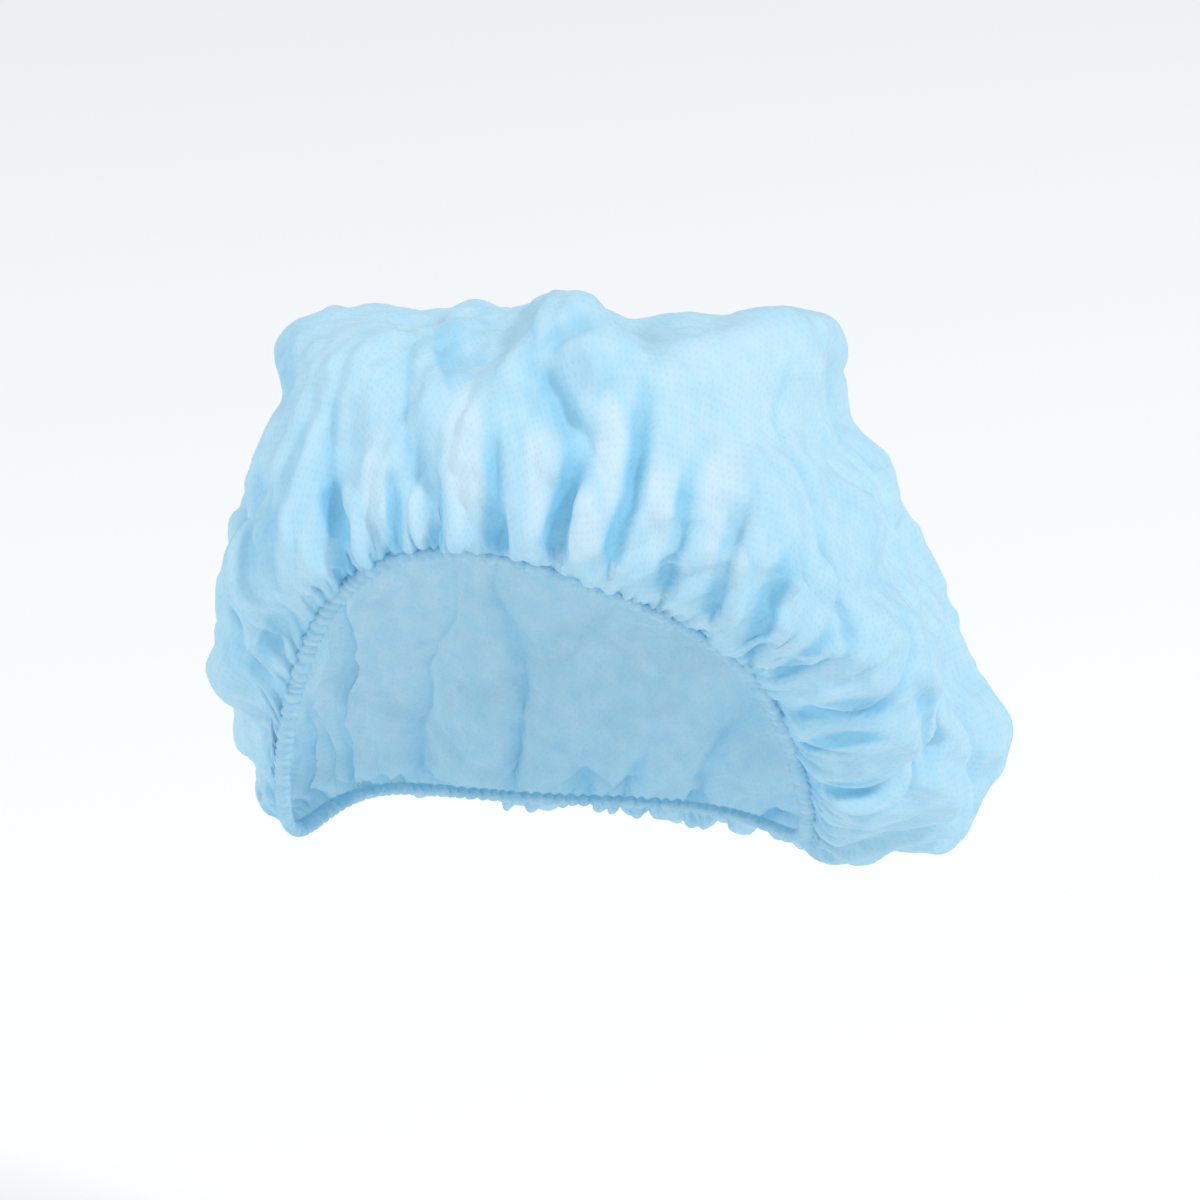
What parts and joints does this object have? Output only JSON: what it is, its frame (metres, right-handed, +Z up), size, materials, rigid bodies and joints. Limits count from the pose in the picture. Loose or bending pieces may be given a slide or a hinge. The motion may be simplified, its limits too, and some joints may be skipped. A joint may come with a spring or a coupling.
{
  "type": "disposable beret cap",
  "caption": "Sheer non-woven cap with a full puffed crown, gathered all round onto a narrow elastic hem, in its worn form.",
  "frame": {"origin": "centre of the hem loop, where the head sits; the hem's mean height", "axes": "+Z up out of the crown, the wearer's face towards -Y, the wearer's left towards +X"},
  "size_m": [0.2, 0.2532, 0.2003],
  "materials": {
    "cloth": "sheer pale blue spunbond non-woven polypropylene",
    "hem": "the same cloth, ruched over an elastic"
  },
  "bodies": {
    "root": {"crown": "cloth", "elastic_hem": "hem"}
  },
  "joints": []
}
